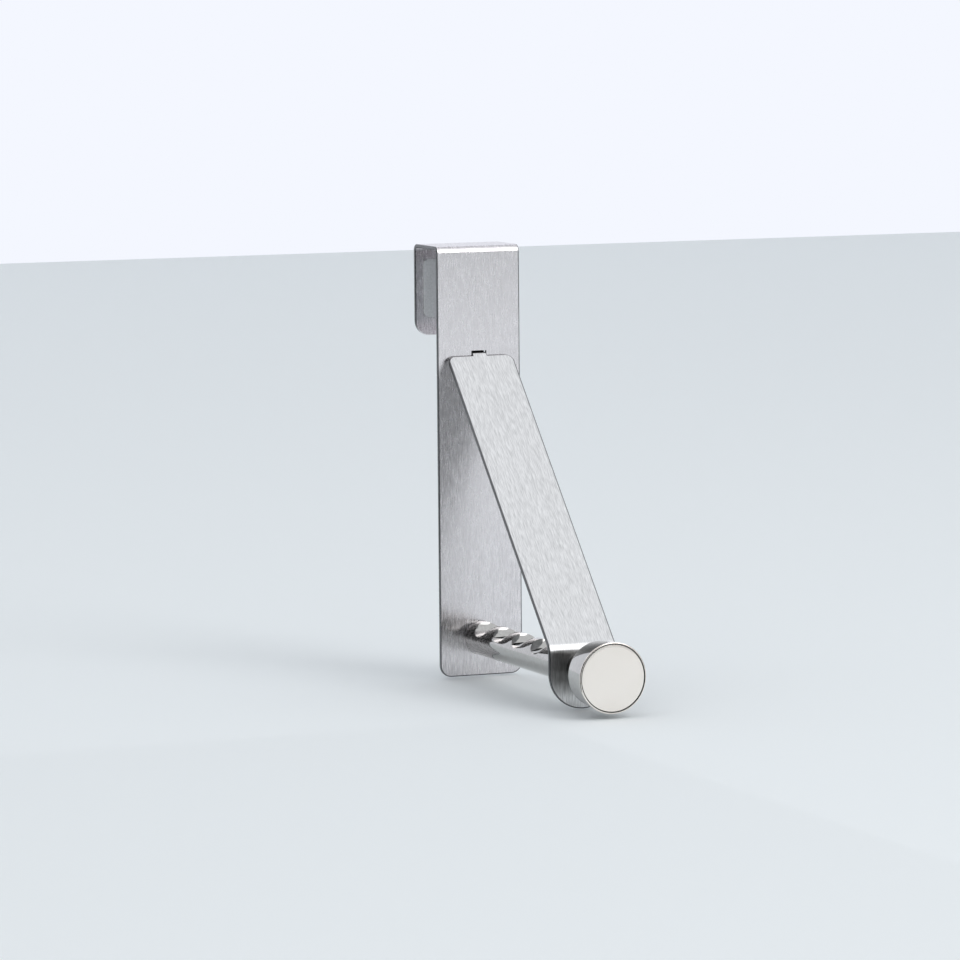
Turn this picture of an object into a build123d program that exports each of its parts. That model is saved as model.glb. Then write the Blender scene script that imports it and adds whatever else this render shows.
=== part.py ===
from build123d import *
import os
from math import cos, radians, sin, tan

# Over-door hook. A strip of steel is folded over the top edge of a door panel. A notched
# rod for clothes hangers stands out from its front plate, and a sloping strut, hooked into
# a slot near the top of the plate, carries the rod's free end and is clamped there by a knob.
#
# Millimetres, +Z up. The door panel lies in the XZ plane with its middle at Y = 0 and its
# top edge at Z = 0. The rod points along -Y. The origin is the middle of the seat on the
# door's top edge.

# Door panel that the hook is made for, and the pads that touch it
door_panel = 16.0
door_play = 0.2
back_pad_thickness = 1.5
leg_pad_thickness = 1.0
pad_width = 24.0
pad_corner = 2.0
upper_pad_top = -5.0
upper_pad_height = 22.0
lower_pad_top = -94.0
lower_pad_height = 26.0
leg_pad_top = -4.0
leg_pad_height = 20.0

# Bracket: one strip with the front plate, the flange over the door and the rear leg
sheet = 1.2
edge_break = 0.2
plate_width = 30.0
plate_drop = 145.0
leg_drop = 30.0
bracket_bend = 1.05
plate_corner = 4.0
leg_corner = 5.0

# Slot near the top of the plate, and the strut's tab that hooks through it
slot_width = 5.5
slot_above_strut = 1.55
slot_below_strut = 1.2
slot_corner = 0.3
tab_width = 4.7
tab_rise = 0.92
tab_bend = 0.3
lip_play = 0.1
lip_height = 3.6

# Strut: a second strip, bent once above the rod, with a round eye at its lower end
strut_width = 23.6
strut_top = -35.8
strut_slope = radians(45.95)
strut_bend = 3.0
strut_corner = 2.8
eye_hole = 6.4
eye_drop = 1.2

# Hanger rod: round bar with scalloped notches along its top
rod_diameter = 11.6
rod_length = 85.8
rod_height = -132.2
rod_chamfer = 0.5
notch_count = 4
notch_first = 10.1
notch_pitch = 16.2
notch_radius = 6.5
notch_depth = 4.1

# Knob: a tapered disc with a flat face, on a neck about as thick as the rod
knob_diameter = 23.4
knob_back_diameter = 21.4
knob_thickness = 12.4
knob_round = 0.7
knob_back_chamfer = 0.8
neck_diameter = 12.0
neck_length = 12.3
neck_chamfer = 0.5

# Fasteners: a countersunk screw from behind the plate, and a stud between rod and knob
screw_diameter = 4.0
screw_length = 6.0
screw_head_diameter = 7.6
screw_socket = 2.5
screw_socket_depth = 1.2
screw_bore_depth = 6.6
stud_diameter = 6.0
stud_length = 26.0
stud_in_rod = 12.0
stud_chamfer = 0.6
stud_bore_play = 0.6

# Places that follow from the sizes above
plate_back = -(door_panel / 2 + back_pad_thickness)
plate_front = plate_back - sheet
leg_inner = door_panel / 2 + door_play + leg_pad_thickness
rod_radius = rod_diameter / 2
rod_end = plate_front - rod_length
tolerance = 1e-4

# Frame of the turned pieces: its first axis runs out from the plate along the rod
rod_plane = Plane(origin=(0, plate_front, rod_height), x_dir=(0, -1, 0), z_dir=(-1, 0, 0))
rod_axis = Axis(origin=(0, plate_front, rod_height), direction=(0, -1, 0))


def turned(outline):
    """Revolves an outline about the rod's axis; its points are (distance from the plate, radius)."""
    return revolve(rod_plane * make_face(outline), axis=rod_axis)


def bar(start, length, diameter):
    """Round bar on the rod's axis, from a distance in front of the plate."""
    return rod_plane * Pos(start + length / 2) * Cylinder(diameter / 2, length, rotation=(0, 90, 0))


def chamfered_bar(start, length, diameter, size):
    """Round bar on the rod's axis with a chamfer at both ends."""
    end = start + length
    radius = diameter / 2
    near_end = [(start, 0), (start, radius - size), (start + size, radius)]
    far_end = [(end - size, radius), (end, radius - size), (end, 0)]
    return turned(Polyline(*near_end, *far_end, close=True))


def screw_head_cone():
    """Cone of a 90 degree countersunk head that is flush with the plate's back."""
    head, shank = screw_head_diameter / 2, screw_diameter / 2
    tip = head - shank - sheet
    return turned(Polyline((-sheet, 0), (-sheet, head), (tip, shank), (tip, 0), close=True))


def folded_strip(middle_line, radii, width):
    """Strip folded along a line in the YZ plane, which is the middle of its thickness."""
    with BuildSketch(Plane.YZ) as section:
        with BuildLine():
            FilletPolyline(*middle_line, radius=radii)
        trace(line_width=sheet)
    return extrude(section.sketch, amount=width / 2, both=True)


def end_corners(strip, height):
    """The two short edges through the sheet at the end of a strip that lies at a height."""
    short_edges = strip.edges().filter_by(lambda edge: abs(edge.length - sheet) < tolerance)
    return short_edges.sort_by(lambda edge: abs(edge.center().Z - height))[:2]


def broken_edges(strip):
    """The strip with a small chamfer along its outline on both faces."""
    sides = strip.faces().filter_by(Axis.X)
    long_edges = sides.edges().filter_by(lambda edge: edge.length > sheet + tolerance)
    return chamfer(long_edges, edge_break)


def door_bracket():
    """Front plate, flange and rear leg, folded from one strip."""
    front_y = plate_back - sheet / 2
    rear_y = leg_inner + sheet / 2
    middle_line = [(front_y, -plate_drop), (front_y, sheet / 2), (rear_y, sheet / 2), (rear_y, -leg_drop)]
    strip = folded_strip(middle_line, bracket_bend + sheet / 2, plate_width)
    strip = fillet(end_corners(strip, -plate_drop), plate_corner)
    strip = fillet(end_corners(strip, -leg_drop), leg_corner)
    strip = broken_edges(strip)
    slot_height = slot_above_strut + slot_below_strut
    slot_z = strut_top + slot_above_strut - slot_height / 2
    slot = extrude(Plane.XZ * RectangleRounded(slot_width, slot_height, slot_corner), amount=2 * sheet, both=True)
    return strip - Pos(0, plate_front, slot_z) * slot - screw_head_cone()


def round_end():
    """Half disc that ends the strut below its eye."""
    disc = Pos(0, 0, -eye_drop) * bar(rod_length, sheet, strut_width)
    upper_half = Box(2 * strut_width, 4 * sheet, strut_width)
    return disc - Pos(0, rod_end, rod_height - eye_drop + strut_width / 2) * upper_half


def strut():
    """Tab, sloping strip, bend and round foot with its eye, folded from one strip."""
    half = sheet / 2
    top_y = plate_front - half * sin(strut_slope)
    top_z = strut_top - half * cos(strut_slope)
    foot_y = rod_end - half
    bend_z = top_z - (top_y - foot_y) * tan(strut_slope)
    blade_line = [(top_y, top_z), (foot_y, bend_z), (foot_y, rod_height - eye_drop)]
    blade = folded_strip(blade_line, strut_bend + half, strut_width)
    blade = fillet(end_corners(blade, top_z), strut_corner)
    blade = broken_edges(blade + round_end())
    neck_z = strut_top + tab_rise - half
    neck_y = top_y + (neck_z - top_z) / tan(strut_slope)
    lip_y = plate_back + lip_play + half
    root = (top_y - 2 * sheet, top_z - 2 * sheet * tan(strut_slope))
    tab_line = [root, (neck_y, neck_z), (lip_y, neck_z), (lip_y, neck_z + lip_height)]
    tab = folded_strip(tab_line, tab_bend + half, tab_width)
    return blade + tab - bar(rod_length - sheet, 3 * sheet, eye_hole)


def hanger_rod():
    """Round bar with scalloped notches on top and a threaded bore in each end."""
    rod = chamfered_bar(0, rod_length, rod_diameter, rod_chamfer)
    cutter_height = rod_radius - notch_depth + notch_radius
    for n in range(notch_count):
        place = Pos(0, plate_front - notch_first - n * notch_pitch, rod_height + cutter_height)
        rod -= place * Cylinder(notch_radius, 2 * rod_diameter, rotation=(0, 90, 0))
    rod -= bar(0, screw_bore_depth, screw_diameter)
    rod -= bar(rod_length - stud_in_rod - stud_bore_play, stud_in_rod + stud_bore_play, stud_diameter)
    return rod - screw_head_cone()


def end_knob():
    """Neck and tapered knob, turned from one bar and bored from the neck's end."""
    start = rod_length + sheet
    back = start + neck_length
    face = back + knob_thickness
    neck = neck_diameter / 2
    rear = knob_back_diameter / 2
    rim = knob_diameter / 2
    with BuildSketch() as outline:
        with BuildLine():
            Polyline((face, 0), (start, 0), (start, neck - neck_chamfer), (start + neck_chamfer, neck),
                     (back, neck), (back, rear), (face, rim), close=True)
        make_face()
        rim_corner = outline.vertices().sort_by(Axis.Y)[-1]
        fillet(rim_corner, knob_round)
        rear_corner = outline.vertices().sort_by(lambda corner: abs(corner.X - back) + abs(corner.Y - rear))[0]
        chamfer(rear_corner, knob_back_chamfer)
    knob = revolve(rod_plane * outline.sketch, axis=rod_axis)
    return knob - bar(start, stud_length - stud_in_rod - sheet + stud_bore_play, stud_diameter)


def rod_screw():
    """Countersunk screw with a hexagon socket; its head is flush with the plate's back."""
    screw = screw_head_cone() + bar(-sheet / 2, screw_length - sheet / 2, screw_diameter)
    socket = Plane.XZ.offset(-plate_back) * RegularPolygon(screw_socket / 2, 6, major_radius=False)
    return screw - Pos(0, 0, rod_height) * extrude(socket, amount=screw_socket_depth)


def knob_stud():
    """Stud that runs from the rod through the strut's eye into the knob."""
    return chamfered_bar(rod_length - stud_in_rod, stud_length, stud_diameter, stud_chamfer)


def pad(top, height, thickness, rear_face):
    """Flat pad with rounded corners; rear_face is the Y of the side away from the rod."""
    outline = Plane.XZ * RectangleRounded(pad_width, height, pad_corner)
    return Pos(0, rear_face, top - height / 2) * extrude(outline, amount=thickness)


pieces = {
    "door_bracket": door_bracket(),
    "strut": strut(),
    "hanger_rod": hanger_rod(),
    "end_knob": end_knob(),
    "rod_screw": rod_screw(),
    "knob_stud": knob_stud(),
    "upper_pad": pad(upper_pad_top, upper_pad_height, back_pad_thickness, plate_back + back_pad_thickness),
    "lower_pad": pad(lower_pad_top, lower_pad_height, back_pad_thickness, plate_back + back_pad_thickness),
    "leg_pad": pad(leg_pad_top, leg_pad_height, leg_pad_thickness, leg_inner),
}

os.makedirs("parts", exist_ok=True)
for name, piece in pieces.items():
    export_step(piece, f"parts/{name}.step")
    box = piece.bounding_box()
    print(f"{name:14} {piece.volume:9.1f} mm3  {box.size.X:6.2f} x {box.size.Y:6.2f} x {box.size.Z:6.2f} mm")
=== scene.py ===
# %% [markdown]
# # Over-door hook
#
# A hook that hangs over the top of a door. One strip of brushed stainless steel is folded
# over the door's edge, a notched rod stands out from it, and a second strip slopes down from
# a slot in the first to carry the rod's free end, where a turned knob clamps it.
#
# The imported part is the frame that everything here is built on. It is loaded first, and its
# box is kept.

# %% Load the frame
from math import cos, pi, radians, sin, sqrt

import bmesh
import bpy
from mathutils import Matrix, Vector


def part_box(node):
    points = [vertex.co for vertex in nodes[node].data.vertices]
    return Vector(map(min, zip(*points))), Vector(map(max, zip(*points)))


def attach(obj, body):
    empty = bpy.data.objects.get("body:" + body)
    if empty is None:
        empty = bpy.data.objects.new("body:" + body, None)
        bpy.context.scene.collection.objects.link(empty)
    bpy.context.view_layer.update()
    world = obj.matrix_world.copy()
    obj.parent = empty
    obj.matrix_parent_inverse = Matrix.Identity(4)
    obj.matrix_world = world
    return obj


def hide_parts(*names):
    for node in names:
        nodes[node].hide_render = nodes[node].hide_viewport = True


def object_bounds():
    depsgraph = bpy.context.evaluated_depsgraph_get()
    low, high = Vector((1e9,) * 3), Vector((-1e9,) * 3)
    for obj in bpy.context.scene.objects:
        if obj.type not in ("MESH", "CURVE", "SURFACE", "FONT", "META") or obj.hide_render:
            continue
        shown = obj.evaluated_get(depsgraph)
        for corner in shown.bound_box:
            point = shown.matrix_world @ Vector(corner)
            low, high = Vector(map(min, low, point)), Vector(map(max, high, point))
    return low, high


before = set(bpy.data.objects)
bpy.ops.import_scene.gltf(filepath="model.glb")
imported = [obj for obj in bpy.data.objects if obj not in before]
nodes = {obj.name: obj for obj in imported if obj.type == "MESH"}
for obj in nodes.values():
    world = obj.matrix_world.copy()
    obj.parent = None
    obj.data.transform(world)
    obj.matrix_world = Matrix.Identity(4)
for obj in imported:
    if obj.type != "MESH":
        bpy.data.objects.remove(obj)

cad_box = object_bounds()
mm = 0.001
scene = bpy.context.scene
print("nodes:", ", ".join(sorted(nodes)))

# %% [markdown]
# ## The camera
#
# The hook is seen from its left and a little from above, through a long lens, which keeps
# the edges of the plate nearly parallel. A camera could be turned by hand until the view
# looks right. Here it is worked out from the direction it looks in, its distance and the
# point it aims at, because those can be measured, and a hand turn can't be repeated.

# %% Directions of the view
camera_turn = radians(22.217)
camera_dip = radians(5.801)
camera_roll = radians(0.531)

look = Vector((sin(camera_turn) * cos(camera_dip), cos(camera_turn) * cos(camera_dip), -sin(camera_dip)))
right = Vector((cos(camera_turn), -sin(camera_turn), 0))
down = look.cross(right)
rolled_right = cos(camera_roll) * right + sin(camera_roll) * down
rolled_down = cos(camera_roll) * down - sin(camera_roll) * right
turned_to_view = Matrix((rolled_right, -rolled_down, -look)).transposed()
print("looking along", [round(v, 3) for v in look])

# %% Camera
aim = Vector((0.3, -9.95, -78.4)) * mm
camera_distance = 1.860
camera_lens = 205.7
camera_reach = 20

camera_data = bpy.data.cameras.new("photo_camera")
camera_data.lens = camera_lens
camera_data.clip_end = camera_reach
camera = bpy.data.objects.new("photo_camera", camera_data)
camera.matrix_world = Matrix.Translation(aim - look * camera_distance) @ turned_to_view.to_4x4()
scene.collection.objects.link(camera)
scene.camera = camera
print("camera at", [round(v, 3) for v in camera.matrix_world.translation])

# %% [markdown]
# ## Small helpers for materials
#
# Every finish here is a Principled shader fed by a few nodes. The nodes could be added one
# by one each time, but the same steps come back in every finish, so they are written once.
# An owner is the material, or the world, that holds the nodes. An input takes a plain value
# or another node's output, and one helper tells the two apart.

# %% Make a material and its nodes
def new_material(name, metallic, roughness, anisotropy=0.0):
    material = bpy.data.materials.new(name)
    material.use_nodes = True
    shader = material.node_tree.nodes["Principled BSDF"]
    shader.inputs["Metallic"].default_value = metallic
    shader.inputs["Roughness"].default_value = roughness
    shader.inputs["Anisotropic"].default_value = anisotropy
    return material, shader


def add_node(owner, kind, **settings):
    node = owner.node_tree.nodes.new(kind)
    for key, value in settings.items():
        setattr(node, key, value)
    return node


def link(owner, source, target):
    owner.node_tree.links.new(source, target)


def put(owner, value, socket):
    """Gives an input a number, a colour or another node's output."""
    if isinstance(value, bpy.types.NodeSocket):
        link(owner, value, socket)
    else:
        socket.default_value = value


print("helpers for nodes ready")

# %% Calculate with nodes
def calculated(owner, operation, *values):
    """The result of a Math node on numbers or other nodes' outputs."""
    node = add_node(owner, "ShaderNodeMath", operation=operation)
    for value, socket in zip(values, node.inputs):
        put(owner, value, socket)
    return node.outputs["Value"]


def to_range(owner, value, low, high, from_low=0.3, from_high=0.7):
    """Stretches a value from one range of numbers to another."""
    node = add_node(owner, "ShaderNodeMapRange")
    node.inputs["From Min"].default_value = from_low
    node.inputs["From Max"].default_value = from_high
    node.inputs["To Min"].default_value = low
    node.inputs["To Max"].default_value = high
    link(owner, value, node.inputs["Value"])
    return node.outputs["Result"]


def weighted(material, first, second, share):
    """Adds two values, the second with a share of the weight."""
    rest = calculated(material, "MULTIPLY", first, 1 - share)
    return calculated(material, "MULTIPLY_ADD", second, share, rest)


print("helpers for numbers ready")

# %% [markdown]
# ## Noise, colour and bump
#
# No steel is one even grey. An image of its surface would need a file and an unwrapped mesh,
# so noise on the object's own coordinates is used. A streak is ordinary noise on coordinates
# that are scaled up across the grain and scaled down along it. The noise then blends two
# colours, and lifts the surface a little in shading.

# %% Streaks, colours and bump
def streaks(material, scale, detail, offset=(0, 0, 0)):
    """Noise on the object's own coordinates, scaled by a different amount along X, Y and Z."""
    place = add_node(material, "ShaderNodeTexCoord")
    stretch = add_node(material, "ShaderNodeMapping")
    stretch.inputs["Scale"].default_value = scale
    stretch.inputs["Location"].default_value = offset
    noise = add_node(material, "ShaderNodeTexNoise")
    noise.inputs["Scale"].default_value = 1.0
    noise.inputs["Detail"].default_value = detail
    link(material, place.outputs["Object"], stretch.inputs["Vector"])
    link(material, stretch.outputs["Vector"], noise.inputs["Vector"])
    return noise.outputs["Fac"]


def two_colours(material, value, dark, light, from_low=0.3, from_high=0.7):
    """Blends two colours by a noise value."""
    ramp = add_node(material, "ShaderNodeValToRGB")
    ramp.color_ramp.elements[0].position = from_low
    ramp.color_ramp.elements[0].color = (*dark, 1)
    ramp.color_ramp.elements[1].position = from_high
    ramp.color_ramp.elements[1].color = (*light, 1)
    link(material, value, ramp.inputs["Fac"])
    return ramp.outputs["Color"]


def blended(material, share, first, second):
    """Goes from the first colour to the second by a share."""
    mix = add_node(material, "ShaderNodeMixRGB", blend_type="MIX")
    put(material, share, mix.inputs["Fac"])
    put(material, first, mix.inputs["Color1"])
    put(material, second, mix.inputs["Color2"])
    return mix.outputs["Color"]


def bumped(material, shader, value, height):
    """Lets a noise value raise the surface by a height in metres, in shading only."""
    bump = add_node(material, "ShaderNodeBump")
    bump.inputs["Distance"].default_value = height
    link(material, value, bump.inputs["Height"])
    link(material, bump.outputs["Normal"], shader.inputs["Normal"])


print("helpers for noise and colour ready")

# %% [markdown]
# ## Where a strip looks different
#
# A brushed strip isn't the same all over. Its cut sides weren't brushed and are darker. A thin
# line of painted shade runs along its edges, and the walls of the slot and the strut's rear
# face get painted shade too. A material of its own for each place would need faces of its
# own, which the line doesn't have. So each place is a mask instead: a few nodes that give 1
# there and 0 elsewhere, worked out from the object's own coordinates and its own normal.

# %% Which way a surface faces
cut_side_facing = (0.5, 0.65)
back_facing = (0.2, 0.4)


def coordinate(material, kind, axis):
    """One axis of the object's own coordinates or of its own normal."""
    place = add_node(material, "ShaderNodeTexCoord")
    parts = add_node(material, "ShaderNodeSeparateXYZ")
    link(material, place.outputs[kind], parts.inputs["Vector"])
    return parts.outputs[axis]


def on_cut_side(material):
    """1 where the surface faces along X, as the cut sides of both strips do."""
    sideways = calculated(material, "ABSOLUTE", coordinate(material, "Normal", "X"))
    return to_range(material, sideways, 0, 1, *cut_side_facing)


def on_back(material):
    """1 where the surface faces the door, where a strip's rear face can get painted shade."""
    return to_range(material, coordinate(material, "Normal", "Y"), 0, 1, *back_facing)


print("a cut side begins at", cut_side_facing[0], "and a back at", back_facing[0])

# %% Walls of the slot
slot_half_width = 2.78 * mm
slot_low = -37.04 * mm
slot_high = -34.22 * mm
skin = 0.03 * mm
plate_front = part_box("hanger_rod")[1].y


def between(material, axis, low, high):
    """1 where the object's coordinate on an axis lies between two values."""
    along = coordinate(material, "Object", axis)
    above = calculated(material, "GREATER_THAN", along, low)
    below = calculated(material, "LESS_THAN", along, high)
    return calculated(material, "MULTIPLY", above, below)


def in_slot(material):
    """1 on the walls of the slot and on the tab inside it, from just behind the plate's front, where shade
    is painted.
    """
    in_width = between(material, "X", -slot_half_width, slot_half_width)
    in_depth = between(material, "Y", plate_front + skin, 0)
    in_height = between(material, "Z", slot_low, slot_high)
    in_column = calculated(material, "MULTIPLY", in_width, in_depth)
    return calculated(material, "MULTIPLY", in_column, in_height)


print("slot", round((slot_high - slot_low) / mm, 2), "mm high")

# %% Line along a strip's edges
outline_width = 0.38 * mm
outline_blur = 0.06 * mm


def on_outline(material, half_width, corner, start, rise, free_middle):
    """1 in a thin line along a strip's sides and round the corners of one end, where shade is painted.

    The corners begin at the height start. A rise of -1 is for an end that hangs down, and a
    sloping end rises by less than 1. The line leaves out the middle of the strip, by
    free_middle to each side, where a tab goes on."""
    side = calculated(material, "ABSOLUTE", coordinate(material, "Object", "X"))
    past_side = calculated(material, "SUBTRACT", side, half_width - corner)
    past_start = calculated(material, "SUBTRACT", coordinate(material, "Object", "Z"), start)
    past_end = calculated(material, "DIVIDE", past_start, rise)
    both = add_node(material, "ShaderNodeCombineXYZ")
    link(material, calculated(material, "MAXIMUM", past_side, 0), both.inputs["X"])
    link(material, calculated(material, "MAXIMUM", past_end, 0), both.inputs["Y"])
    reach = add_node(material, "ShaderNodeVectorMath", operation="LENGTH")
    link(material, both.outputs["Vector"], reach.inputs[0])
    edge = corner - outline_width
    line = to_range(material, reach.outputs["Value"], 0, 1, edge - outline_blur, edge + outline_blur)
    off_tab = calculated(material, "GREATER_THAN", side, free_middle)
    return calculated(material, "MULTIPLY", off_tab, line)


print("line", round(outline_width / mm, 2), "mm wide")

# %% [markdown]
# ## Brushed strip
#
# Both strips are stainless steel that was brushed along its length before it was folded.
# The scratches are hair fine and run the long way, so light spreads across them. Modelled
# scratches would take millions of faces, so the shader's anisotropy gives that spread, with
# its tangent across the strip, and streaky noises vary colour and roughness. Every fold is
# about the X axis, so a noise that is fine along X and long along Y and Z follows the grain
# over the folds as well. The masks then darken the cut sides, and paint shade along the edges
# and in the slot, and the strut's rear face is painted darker than its front, as shade.

# %% Colour of brushed steel
tone_across = 900
tone_along = 45
tone_detail = 1.0
tone_offset = (3, 1, 7)
tone_share = 0.09
grain_contrast = (0.32, 0.68)
cut_side_steel = (0.15, 0.15, 0.155)
cut_side_shade = 0.8
# painted shade: a dark line along the strips' edges, and at the strut's top as the shadow of its gap against
# the plate
painted_edge_shade = (0.16, 0.16, 0.165, 1)
# painted shade: the slot's walls and the tab inside it are near black, where little light gets in
painted_slot_shade = (0.02, 0.02, 0.02, 1)


def dimmed(colour, factor):
    return [factor * value for value in colour]


def brushed_colour(material, scratches, dark, light, ends, back):
    """Colour of a brushed strip fed by its scratches, with darker cut sides, and with painted shade on a
    rear face, along the edges and in the slot.
    """
    tone = streaks(material, (tone_across, tone_along, tone_along), tone_detail, tone_offset)
    mixed = weighted(material, scratches, tone, tone_share)
    colour = two_colours(material, mixed, dark, light, *grain_contrast)
    # painted shade: a rear face is darkened, as the shaded underside of the strut
    if back < 1:
        painted_back_shade = two_colours(material, mixed, dimmed(dark, back), dimmed(light, back), *grain_contrast)
        colour = blended(material, on_back(material), colour, painted_back_shade)
    cut_steel = two_colours(material, scratches, dimmed(cut_side_steel, cut_side_shade), cut_side_steel)
    colour = blended(material, on_cut_side(material), colour, cut_steel)
    # painted shade along the edges
    for end in ends:
        colour = blended(material, on_outline(material, *end), colour, painted_edge_shade)
    # painted shade in the slot
    return blended(material, in_slot(material), colour, painted_slot_shade)


print("tone has", tone_share, "of the weight")

# %% Brushed strip
grain_along = 300
scratch_detail = 2.0
scratch_height = 0.0018 * mm
smoother = 0.05
rougher = 0.06
across_strip = (1.0, 0.03, 0.02)


def brushed_strip(name, dark, light, roughness, anisotropy, grain_across, ends, back):
    """Brushed steel for a strip; back is the share of its colour that its rear face keeps, as painted shade.
    """
    material, shader = new_material(name, 1.0, roughness, anisotropy)
    scratches = streaks(material, (grain_across, grain_along, grain_along), scratch_detail)
    colour = brushed_colour(material, scratches, dark, light, ends, back)
    uneven = to_range(material, scratches, roughness - smoother, roughness + rougher)
    across = add_node(material, "ShaderNodeCombineXYZ")
    for value, socket in zip(across_strip, across.inputs):
        put(material, value, socket)
    link(material, colour, shader.inputs["Base Color"])
    link(material, uneven, shader.inputs["Roughness"])
    link(material, across.outputs["Vector"], shader.inputs["Tangent"])
    bumped(material, shader, scratches, scratch_height)
    return material


print("scratches", round(1e6 * scratch_height, 2), "micrometres high")

# %% Ends of the two strips
plate_half_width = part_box("door_bracket")[1].x
plate_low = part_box("door_bracket")[0].z
plate_corner = 4.0 * mm
strut_half_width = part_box("strut")[1].x
foot_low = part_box("strut")[0].z
strut_top = -35.8 * mm
strut_corner = 2.8 * mm
strut_rise = 0.719
tab_half_width = 2.4 * mm
hanging = -1
no_tab = 0

# where the painted shade line runs: round the plate's lower end, round the strut's foot, and across the
# strut's top
plate_end = (plate_half_width, plate_corner, plate_low + plate_corner, hanging, no_tab)
round_foot = (strut_half_width, strut_half_width, foot_low + strut_half_width, hanging, no_tab)
sloping_top = (strut_half_width, strut_corner, strut_top - strut_corner * strut_rise, strut_rise,
               tab_half_width)
print("plate ends at", round(plate_low / mm, 1), "mm and the strut's foot at", round(foot_low / mm, 1), "mm")

# %% Steel of the plate and the strut
plate_steel = brushed_strip(
    "brushed_plate_steel", dark=(0.65, 0.625, 0.638), light=(0.93, 0.895, 0.913), roughness=0.24,
    anisotropy=0.66, grain_across=2300, ends=[plate_end], back=1.0)
# the strut's rear face keeps 0.6 of its colour, as painted shade
strut_steel = brushed_strip(
    "brushed_strut_steel", dark=(0.61, 0.61, 0.61), light=(0.92, 0.92, 0.92), roughness=0.33,
    anisotropy=0.74, grain_across=3600, ends=[round_foot, sloping_top], back=0.6)
print("made", plate_steel.name, "and", strut_steel.name)

# %% [markdown]
# ## Polished and turned steel
#
# The rod and the knob's side are polished after turning. They are nearly mirrors, so most of
# their look comes from what stands around them. A perfect mirror would look like a drawing
# of chrome, so a faint unevenness in colour and roughness is added. The knob's face is
# brighter and satin. Its neck is left rougher from the lathe, and the neck and the knob's back
# are painted dark, as shade in the gap between the knob and the strut's foot.

# %% Polished and turned steel
lathe_detail = 2.0
lathe_unevenness = 0.02


def lathe_steel(name, dark, light, roughness, fineness):
    """Turned steel between two colours; its fineness is the number of noise cells to a metre."""
    material, shader = new_material(name, 1.0, roughness)
    grain = streaks(material, (fineness, fineness, fineness), lathe_detail)
    uneven = to_range(material, grain, roughness - lathe_unevenness, roughness + lathe_unevenness)
    link(material, two_colours(material, grain, dark, light), shader.inputs["Base Color"])
    link(material, uneven, shader.inputs["Roughness"])
    return material


rod_steel = lathe_steel("polished_rod_steel", (0.46, 0.452, 0.435), (0.53, 0.522, 0.505), 0.06, 900)
side_steel = lathe_steel("polished_knob_side", (0.50, 0.495, 0.48), (0.56, 0.55, 0.535), 0.08, 900)
face_steel = lathe_steel("satin_knob_face", (0.97, 0.905, 0.84), (1.0, 0.94, 0.875), 0.24, 130)
# painted shade: the neck and the knob's back are dark as the shade between knob and foot; their higher
# roughness is real
painted_neck_shade = lathe_steel("shaded_neck_paint", (0.20, 0.195, 0.185), (0.27, 0.26, 0.25), 0.20, 500)
# painted shade: the groove is near black, as the shade inside it
painted_groove_shade = lathe_steel("groove_shade_paint", (0.05, 0.05, 0.05), (0.09, 0.09, 0.085), 0.45, 900)
fastener_steel = lathe_steel("fastener_steel", (0.40, 0.40, 0.41), (0.52, 0.52, 0.53), 0.30, 900)
print("made the lathe finishes")

# %% [markdown]
# ## Pads
#
# Thin pale grey rubber pads keep the steel off the door. Rubber is matt and slightly grainy.
# A plain grey would look like card, so the same fine noise drives the colour and a bump, on
# a shader with no metallic part and a high roughness.

# %% Pad material
rubber_roughness = 0.8
rubber_grain = (1600, 1600, 1600)
rubber_detail = 4.0
rubber_height = 0.03 * mm
rubber_dark = (0.50, 0.51, 0.52)
rubber_light = (0.62, 0.63, 0.64)

pad_rubber, pad_shader = new_material("pad_rubber", 0.0, rubber_roughness)
rubber_noise = streaks(pad_rubber, rubber_grain, rubber_detail)
link(pad_rubber, two_colours(pad_rubber, rubber_noise, rubber_dark, rubber_light),
     pad_shader.inputs["Base Color"])
bumped(pad_rubber, pad_shader, rubber_noise, rubber_height)
print("made", pad_rubber.name)

# %% [markdown]
# ## Dressing the solid pieces
#
# The bracket, the strut, the fasteners and the pads already have their true shape in the
# frame. They could be modelled again, but that would only copy them, so they stay and each
# gets its finish.

# %% Dress the pieces that stay
finish_of = {
    "door_bracket": plate_steel,
    "strut": strut_steel,
    "rod_screw": fastener_steel,
    "knob_stud": fastener_steel,
    "upper_pad": pad_rubber,
    "lower_pad": pad_rubber,
    "leg_pad": pad_rubber,
}
for name, finish in finish_of.items():
    nodes[name].data.materials.clear()
    nodes[name].data.materials.append(finish)
print("dressed", len(finish_of), "nodes")

# %% [markdown]
# ## Turning on a lathe
#
# The rod and the knob are both turned. A curve spun by a modifier would do, but one helper
# that works as a lathe does is easier to follow: it starts with a ring of points on the
# rod's axis, then pulls that ring along the axis and scales it to the next radius, again and
# again, until the outline is done. The two open ends are then closed, and the normals made
# to point outwards.

# %% Turn an outline
lathe_sides = 96
rod_low, rod_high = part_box("hanger_rod")
axis_height = (rod_low.z + rod_high.z) / 2


def on_axis(y):
    return Vector((0, y, axis_height))


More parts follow.
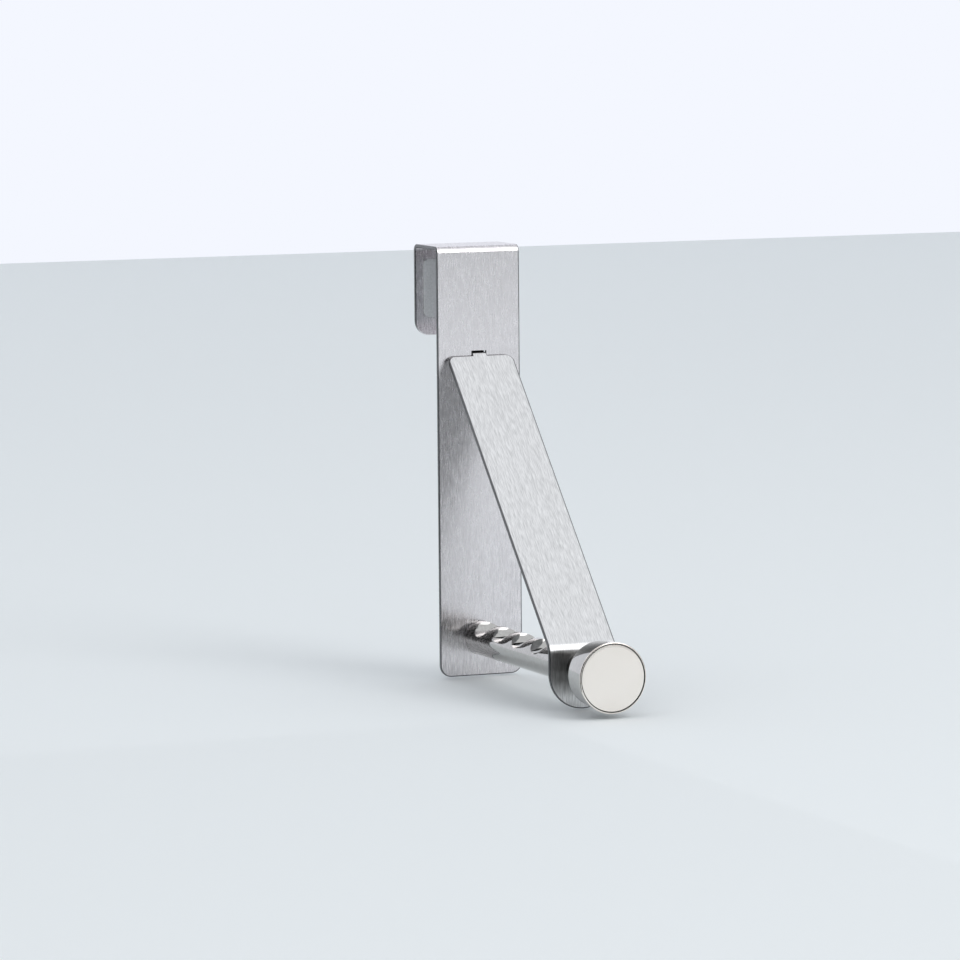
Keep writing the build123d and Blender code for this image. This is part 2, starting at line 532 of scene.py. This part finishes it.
def turned_piece(name, outline):
    """Turns an outline about the rod's axis. Its points are (y, radius), both in metres."""
    first_y, first_radius = outline[0]
    bpy.ops.object.select_all(action="DESELECT")
    bpy.ops.mesh.primitive_circle_add(vertices=lathe_sides, radius=first_radius,
                                      location=on_axis(first_y), rotation=(pi / 2, 0, 0))
    piece = bpy.context.object
    piece.name = name
    bpy.ops.object.transform_apply(location=True, rotation=True, scale=True)
    bpy.ops.object.mode_set(mode="EDIT")
    bpy.ops.mesh.select_mode(type="EDGE")
    bpy.ops.mesh.select_all(action="SELECT")
    for (last_y, last_radius), (y, radius) in zip(outline, outline[1:]):
        bpy.ops.mesh.extrude_edges_move(TRANSFORM_OT_translate={"value": (0, y - last_y, 0)})
        bpy.ops.transform.resize(value=(radius / last_radius,) * 3, center_override=on_axis(y))
    bpy.ops.mesh.select_all(action="SELECT")
    bpy.ops.mesh.fill_holes(sides=0)
    bpy.ops.mesh.select_all(action="SELECT")
    bpy.ops.mesh.normals_make_consistent(inside=False)
    bpy.ops.mesh.select_all(action="DESELECT")
    bpy.ops.object.mode_set(mode="OBJECT")
    return piece


print("the lathe's axis is at", round(axis_height / mm, 1), "mm")

# %% Round edges and shade
sharp_angle = radians(25)
near_enough = 0.02 * mm


def select_only(piece):
    bpy.ops.object.select_all(action="DESELECT")
    piece.select_set(True)
    bpy.context.view_layer.objects.active = piece


def round_edges(piece, is_wanted, width, segments):
    """Bevels the sharp edges of a mesh whose two end points are both wanted."""
    select_only(piece)
    bpy.ops.object.mode_set(mode="EDIT")
    bpy.ops.mesh.select_mode(type="EDGE")
    bpy.ops.mesh.select_all(action="DESELECT")
    mesh = bmesh.from_edit_mesh(piece.data)
    count = 0
    for edge in mesh.edges:
        sharp = edge.is_manifold and edge.calc_face_angle() > sharp_angle
        if sharp and all(is_wanted(vertex.co) for vertex in edge.verts):
            edge.select_set(True)
            count += 1
    bmesh.update_edit_mesh(piece.data)
    bpy.ops.mesh.bevel(offset=width, segments=segments, profile=0.5, clamp_overlap=True)
    bpy.ops.mesh.select_all(action="DESELECT")
    bpy.ops.object.mode_set(mode="OBJECT")
    return count


def smooth_shaded(piece, angle):
    select_only(piece)
    bpy.ops.object.shade_smooth_by_angle(angle=angle)


def stands_for(piece, node):
    """Lets a finished piece ride on the body in the place of a solid."""
    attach(piece, "root")
    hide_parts(node)
    print(piece.name, "stands for", node, "with", len(piece.data.polygons), "faces")


print("helpers for finishing a piece ready")

# %% [markdown]
# ## Hanger rod
#
# A polished bar with four scallops across its top, where the hooks of clothes hangers lie.
# The scallops could be pushed in by moving points, but their crisp rims would be lost. So
# the bar is turned first, with its chamfers and its bores, and each scallop is then cut by a
# cylinder that lies across it, as a round milling cutter passed across the bar would leave
# it. The sharp rim of every scallop is broken with a narrow bevel, which gives it its fine
# bright line.

# %% Hanger rod
rod_radius = (rod_high.x - rod_low.x) / 2
rod_base = rod_high.y
rod_tip = rod_low.y
rod_chamfer = 0.5 * mm
screw_bore_radius = 2.0 * mm
screw_bore_depth = 6.6 * mm
sink_radius = 2.6 * mm
sink_depth = 0.6 * mm
stud_radius = 3.0 * mm
stud_bore_depth = 12.6 * mm

hanger_rod = turned_piece("scalloped_rod", [
    (rod_base - screw_bore_depth, screw_bore_radius),
    (rod_base - sink_depth, screw_bore_radius),
    (rod_base, sink_radius),
    (rod_base, rod_radius - rod_chamfer),
    (rod_base - rod_chamfer, rod_radius),
    (rod_tip + rod_chamfer, rod_radius),
    (rod_tip, rod_radius - rod_chamfer),
    (rod_tip, stud_radius),
    (rod_tip + stud_bore_depth, stud_radius),
])
print("turned a rod", round((rod_base - rod_tip) / mm, 1), "mm long")

# %% Cut the scallops
scallop_count = 4
first_scallop = 10.1 * mm
scallop_pitch = 16.2 * mm
scallop_radius = 6.5 * mm
scallop_depth = 4.1 * mm
cutter_sides = 128
cutter_length = 5 * rod_radius
cutter_height = axis_height + rod_radius - scallop_depth + scallop_radius
scallop_places = [rod_base - first_scallop - n * scallop_pitch for n in range(scallop_count)]

for y in scallop_places:
    bpy.ops.object.select_all(action="DESELECT")
    bpy.ops.mesh.primitive_cylinder_add(vertices=cutter_sides, radius=scallop_radius, depth=cutter_length,
                                        location=(0, y, cutter_height), rotation=(0, pi / 2, 0))
    cutter = bpy.context.object
    cut = hanger_rod.modifiers.new("scallop", "BOOLEAN")
    cut.operation = "DIFFERENCE"
    cut.solver = "EXACT"
    cut.object = cutter
    select_only(hanger_rod)
    bpy.ops.object.modifier_apply(modifier=cut.name)
    bpy.data.objects.remove(cutter)
print("cut", scallop_count, "scallops")

# %% Break the scallops' rims
rim_width = 0.22 * mm
rim_segments = 2
rod_smooth_angle = radians(28)


def on_scallop(point):
    """True for a point on the wall of one of the scallops."""
    reach = [sqrt((point.y - y) ** 2 + (point.z - cutter_height) ** 2) for y in scallop_places]
    return min(abs(r - scallop_radius) for r in reach) < near_enough


print("rim edges:", round_edges(hanger_rod, on_scallop, rim_width, rim_segments))
smooth_shaded(hanger_rod, rod_smooth_angle)
hanger_rod.data.materials.append(rod_steel)
stands_for(hanger_rod, "hanger_rod")

# %% [markdown]
# ## End knob
#
# The knob is turned with its neck from one bar. Its side is a little wider at the front, and
# its face is very slightly crowned, with a fine scribed groove just inside a rounded rim. A
# bump could fake the groove, but a real one keeps its form from every side, so it is in the
# outline, and so is the crown. The rim is rounded by a bevel, and each zone then gets its
# own steel: satin on the face, painted shade near black in the groove, polish on the side,
# and behind, a rougher lathe finish painted dark as the shade in the gap before the strut's foot.

# %% Sizes of the knob
knob_low, knob_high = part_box("end_knob")
neck_end = knob_high.y
knob_face = knob_low.y
neck_radius = 6.0 * mm
neck_chamfer = 0.5 * mm
knob_thickness = 12.4 * mm
knob_back = knob_face + knob_thickness
knob_back_radius = 10.7 * mm
knob_back_chamfer = 0.8 * mm
chamfer_flare = 0.05 * mm
knob_radius = 11.7 * mm
knob_bore_depth = 13.4 * mm
line_outer = 11.25 * mm
line_width = 0.34 * mm
line_depth = 0.25 * mm
line_lean = 0.05 * mm
crown_height = 0.24 * mm
crown_radius = line_outer - line_width - line_lean
crown_rings = [radius * mm for radius in (9.8, 8.4, 7.0, 5.6, 4.2, 2.8, 1.4)]
print("crown of", round(crown_height / mm, 2), "mm in", len(crown_rings) + 1, "rings")

# %% End knob
def on_crown(radius):
    """A point of the face's outline, which lies deeper the further it is from the middle."""
    return (knob_face + crown_height * (radius / crown_radius) ** 2, radius)


end_knob = turned_piece("satin_knob", [
    (neck_end - knob_bore_depth, stud_radius),
    (neck_end, stud_radius),
    (neck_end, neck_radius - neck_chamfer),
    (neck_end - neck_chamfer, neck_radius),
    (knob_back, neck_radius),
    (knob_back, knob_back_radius - knob_back_chamfer),
    (knob_back - knob_back_chamfer, knob_back_radius + chamfer_flare),
    (knob_face, knob_radius),
    (knob_face, line_outer),
    (knob_face + line_depth, line_outer - line_lean),
    (knob_face + line_depth, line_outer - line_width),
    *[on_crown(radius) for radius in [crown_radius, *crown_rings]],
])
print("turned a knob", round((neck_end - knob_face) / mm, 1), "mm long")

# %% Round the knob's rim
rim_round = 0.4 * mm
rim_round_segments = 5
knob_smooth_angle = radians(32)


def from_axis(point):
    """Distance of a point from the rod's axis."""
    return sqrt(point.x ** 2 + (point.z - axis_height) ** 2)


def on_rim(point):
    """True for a point on the outer edge of the knob's face."""
    return abs(from_axis(point) - knob_radius) < near_enough and abs(point.y - knob_face) < near_enough


print("rim edges:", round_edges(end_knob, on_rim, rim_round, rim_round_segments))
smooth_shaded(end_knob, knob_smooth_angle)

# %% Finishes of the knob's zones
line_margin = 0.04 * mm
behind_side = knob_back - 0.5 * knob_back_chamfer
line_inner = line_outer - line_width - line_margin
line_floor = knob_face + 2 * line_depth
behind_face = knob_face + rim_round
side_zone, face_zone, line_zone, neck_zone = range(4)


def zone_of(middle):
    """The finish of a face of the mesh, by where its middle is."""
    if middle.y > behind_side:
        return neck_zone
    if line_inner < from_axis(middle) < line_outer and middle.y < line_floor:
        return line_zone
    if middle.y < behind_face:
        return face_zone
    return side_zone


# the groove and the neck get painted shade
for finish in (side_steel, face_steel, painted_groove_shade, painted_neck_shade):
    end_knob.data.materials.append(finish)
for face in end_knob.data.polygons:
    face.material_index = zone_of(face.center)
stands_for(end_knob, "end_knob")

# %% [markdown]
# ## Floor and backdrop
#
# The hook stands on a plain pale floor before a pale backdrop. Making the backdrop white
# with more light would also light the hook too much. So the camera and the reflections see a
# plain glow there, and every other ray sees an ordinary pale wall.

# %% Planes for the stage
stage_roughness = 0.9


def plain_plane(name, size, place, turn=(0, 0, 0)):
    bpy.ops.object.select_all(action="DESELECT")
    bpy.ops.mesh.primitive_plane_add(size=1, location=place, rotation=turn)
    plane = bpy.context.object
    plane.name = name
    plane.scale = (size[0], size[1], 1)
    return plane


def painted(plane, name, colour):
    """Gives a plane of the stage a matt paint."""
    material, shader = new_material(name, 0.0, stage_roughness)
    shader.inputs["Base Color"].default_value = colour
    plane.data.materials.append(material)
    return material, shader


print("stage helpers ready")

# %% Floor
floor_gap = 0.4 * mm
floor_height = cad_box[0].z - floor_gap
floor_size = (80, 80)
floor_colour = (0.85, 0.88, 0.885, 1)

painted(plain_plane("floor", floor_size, (0, 0, floor_height)), "pale_floor", floor_colour)
print("floor at", round(floor_height, 4))

# %% Backdrop
wall_behind = 2.28
wall_size = (14, 6)
wall_colour = (0.86, 0.88, 0.92, 1)
wall_glow = (0.905, 0.93, 1.0, 1)
wall_glow_strength = 1.0


def seen_white(material, shader, colour, strength):
    """The camera, gloss and glass see a plain glow of this colour instead of the lit surface."""
    path = add_node(material, "ShaderNodeLightPath").outputs
    seen = calculated(material, "MAXIMUM", path["Is Camera Ray"], path["Is Glossy Ray"])
    seen_or_glass = calculated(material, "MAXIMUM", seen, path["Is Transmission Ray"])
    glow = add_node(material, "ShaderNodeEmission")
    glow.inputs["Color"].default_value = colour
    glow.inputs["Strength"].default_value = strength
    blend = add_node(material, "ShaderNodeMixShader")
    link(material, seen_or_glass, blend.inputs["Fac"])
    link(material, shader.outputs["BSDF"], blend.inputs[1])
    link(material, glow.outputs["Emission"], blend.inputs[2])
    link(material, blend.outputs["Shader"], material.node_tree.nodes["Material Output"].inputs["Surface"])


wall_middle = (0, wall_behind, floor_height + wall_size[1] / 2)
wall = plain_plane("wall", wall_size, wall_middle, (pi / 2, 0, 0))
seen_white(*painted(wall, "pale_wall", wall_colour), wall_glow, wall_glow_strength)
print("wall at", wall_behind)

# %% [markdown]
# ## Light
#
# Many small lamps would leave many small glints in the steel. So a soft world light gives
# the general level, and one large lamp, high in front of the hook and on its right, gives
# the folds their bright bands.

# %% World
world_colour = (0.93, 0.95, 0.98, 1)
world_level = 0.88
world_level_seen = 1.0

world = bpy.data.worlds.new("studio")
scene.world = world
world.use_nodes = True
background = world.node_tree.nodes["Background"]
background.inputs["Color"].default_value = world_colour
world_path = add_node(world, "ShaderNodeLightPath").outputs
world_seen = calculated(world, "MAXIMUM", world_path["Is Camera Ray"], world_path["Is Glossy Ray"])
link(world, to_range(world, world_seen, world_level, world_level_seen, 0, 1), background.inputs["Strength"])
print("world level", world_level)

# %% Lamp
lamp_place = Vector((0.95, -1.88, 1.28))
lamp_width = 1.1
lamp_length = 2.3
lamp_power = 16.5

lamp_data = bpy.data.lights.new("front_top_lamp", "AREA")
lamp_data.shape = "RECTANGLE"
lamp_data.size = lamp_width
lamp_data.size_y = lamp_length
lamp_data.energy = lamp_power
lamp = bpy.data.objects.new("front_top_lamp", lamp_data)
towards_hook = (lamp_place - aim).to_track_quat("Z", "Y").to_matrix().to_4x4()
lamp.matrix_world = Matrix.Translation(lamp_place) @ towards_hook
scene.collection.objects.link(lamp)
lamp.visible_camera = False
print("lamp", round((lamp_place - aim).length, 2), "m from the hook")

# %% [markdown]
# ## Dark cards
#
# Steel shows whatever is around it, and in an empty pale studio it would be pale all over.
# Darker paint on the steel wouldn't help, because it would stay in place as the view turns.
# So seven dark cards are put up around the hook, as a photographer would do it. The plate's
# front and the knob's face look at the floor in front on the right, and a low card stands
# beyond it. The plate beside the rod looks at the rod's left side, and that looks at a card
# that lies flat on the floor. The upper part of each fold looks up and behind, so a card
# hangs there too. The camera doesn't see the cards; only reflections do.

# %% Make a dark card
card_colour = (0.03, 0.03, 0.03, 1)
card_distance = 2.0


def dark_card(name, size, place, turn):
    card = plain_plane(name, size, place, turn)
    painted(card, name + "_paper", card_colour)
    card.visible_camera = False
    card.visible_diffuse = False
    card.visible_shadow = False
    return card


def upright_card(name, bearing, width, low, high):
    """A card that stands round the hook, between two heights over the floor.

    A bearing of 0 is straight in front of the hook, and more is further to the right."""
    place = Vector((sin(bearing), -cos(bearing), 0)) * card_distance
    place.z = floor_height + (low + high) / 2
    return dark_card(name, (width, high - low), place, (pi / 2, 0, bearing))


print("cards stand", card_distance, "m from the hook")

# %% Put up the cards
rear_card_size = (1.4, 0.9)
rear_card_place = (0.0, 0.72, 1.75)
rear_card_tilt = (radians(22), 0, 0)
flat_card_size = (0.606, 1.2)
flat_card_place = (-0.327, -0.71, floor_height + 1 * mm)
lying_flat = (0, 0, 0)

cards = [
    upright_card("front_card", radians(2), width=0.7, low=0.14, high=2.2),
    upright_card("front_left_card", radians(-32), width=1.8, low=0.0, high=2.2),
    upright_card("left_card", radians(-80), width=1.8, low=0.0, high=1.5),
    upright_card("right_card", radians(95), width=1.8, low=0.0, high=1.5),
    upright_card("low_front_card", radians(20), width=1.5, low=0.07, high=0.40),
    dark_card("rear_upper_card", rear_card_size, rear_card_place, rear_card_tilt),
    dark_card("flat_card", flat_card_size, flat_card_place, lying_flat),
]
print("cards:", ", ".join(card.name for card in cards))

# %% [markdown]
# ## The finished model
#
# Last, the scene shows its colours through the Standard view transform.

# %% Finish
scene.view_settings.view_transform = "Standard"
